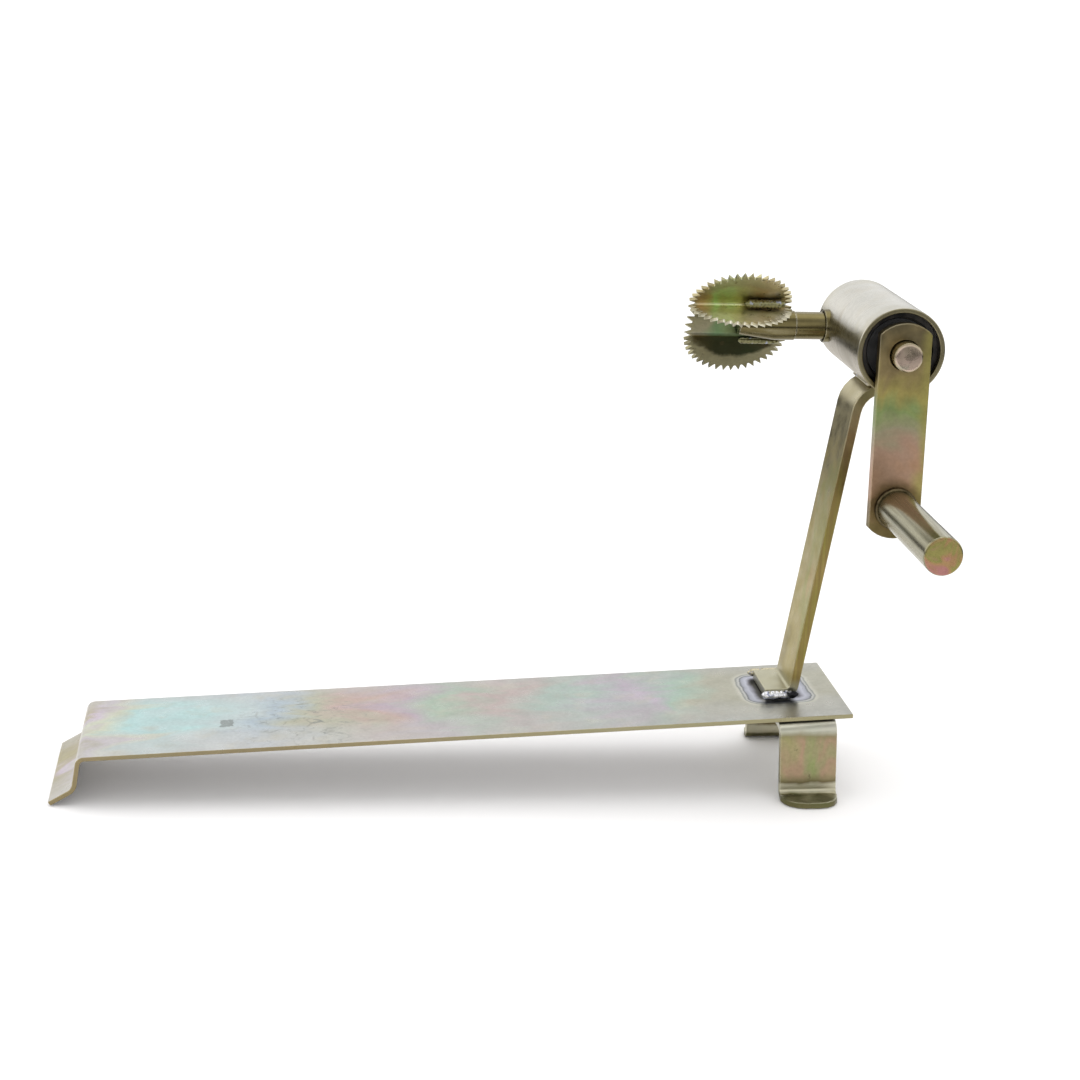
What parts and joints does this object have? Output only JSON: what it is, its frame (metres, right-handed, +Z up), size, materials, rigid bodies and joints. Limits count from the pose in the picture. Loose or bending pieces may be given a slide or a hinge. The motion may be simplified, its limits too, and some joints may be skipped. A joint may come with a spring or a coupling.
{
  "type": "rotary coconut scraper",
  "caption": "Bench scraper: long flat base with bent toe and bracket foot, leaning upright, tube housing with right-angle drive, crank handle and folded toothed head.",
  "frame": {"origin": "centre of the whole object's box, on the surface it stands on", "axes": "+X along the base plate from its bent toe to the crank, +Z up, -Y towards the person turning the crank"},
  "size_m": [0.3676, 0.1556, 0.2225],
  "materials": {
    "plate": "pale zinc plate with faint pink, green and blue film and dark handling marks",
    "zinc": "yellow zinc plate on flat bar, olive gold",
    "housing": "satin plated tube, silver beige",
    "arm": "yellow zinc plate, olive gold with green and pink patches",
    "handle": "plated round bar with bright streaks",
    "shaft": "turned steel, tinted by the plating",
    "cutter": "plated sheet steel, dark olive with green and brown film",
    "weld": "plated weld bead, rippled and shiny",
    "steel": "ground bearing steel",
    "gear": "machined steel, oiled",
    "bronze": "sintered bronze bush",
    "rubber": "black bearing seal"
  },
  "bodies": {
    "frame": {"base_plate": "plate", "foot_bracket": "zinc", "bracket_weld_left": "weld", "bracket_weld_right": "weld", "upright_bar": "zinc", "upright_weld_front": "weld", "upright_weld_rear": "weld", "housing_tube": "housing", "housing_weld_left": "weld", "housing_weld_right": "weld", "rear_end_cap": "zinc", "retaining_ring": "steel", "spacer_sleeve": "steel", "crank_bush": "bronze", "bearing_outer_ring": "steel", "bearing_seal": "rubber", "crank_thrust_washer": "bronze", "cutter_thrust_washer": "bronze", "cutter_bush": "bronze"},
    "crank": {"crank_shaft": "shaft", "crank_arm": "arm", "arm_weld": "weld", "crank_handle": "handle", "handle_weld": "weld", "crank_gear": "gear", "crank_gear_pin": "steel", "bearing_inner_ring": "steel"},
    "ball_set": {"ball_cage": "bronze", "bearing_ball_1": "steel", "bearing_ball_2": "steel", "bearing_ball_3": "steel", "bearing_ball_4": "steel", "bearing_ball_5": "steel", "bearing_ball_6": "steel", "bearing_ball_7": "steel", "bearing_ball_8": "steel"},
    "cutter": {"cutter_shaft": "shaft", "cutter_sleeve": "shaft", "cutter_gear": "gear", "cutter_gear_pin": "steel", "upper_cutter_disc": "cutter", "lower_cutter_disc": "cutter", "upper_disc_weld": "weld", "lower_disc_weld": "weld"}
  },
  "joints": [
    {"name": "crank_spin", "type": "hinge", "parent": "frame", "child": "crank", "pos_m": [0.1654, -0.00415, 0.1975], "axis": [0, 1, 0], "continuous": true},
    {"name": "ball_cage_spin", "type": "hinge", "parent": "frame", "child": "ball_set", "pos_m": [0.1654, -0.00415, 0.1975], "axis": [0, 1, 0], "continuous": true},
    {"name": "cutter_spin", "type": "hinge", "parent": "frame", "child": "cutter", "pos_m": [0.1654, 0.05135, 0.1975], "axis": [1, 0, 0], "continuous": true}
  ],
  "couplings": [
    {"joint": "cutter_spin", "follows": "crank_spin", "ratio": -1},
    {"joint": "ball_cage_spin", "follows": "crank_spin", "ratio": 0.397}
  ]
}
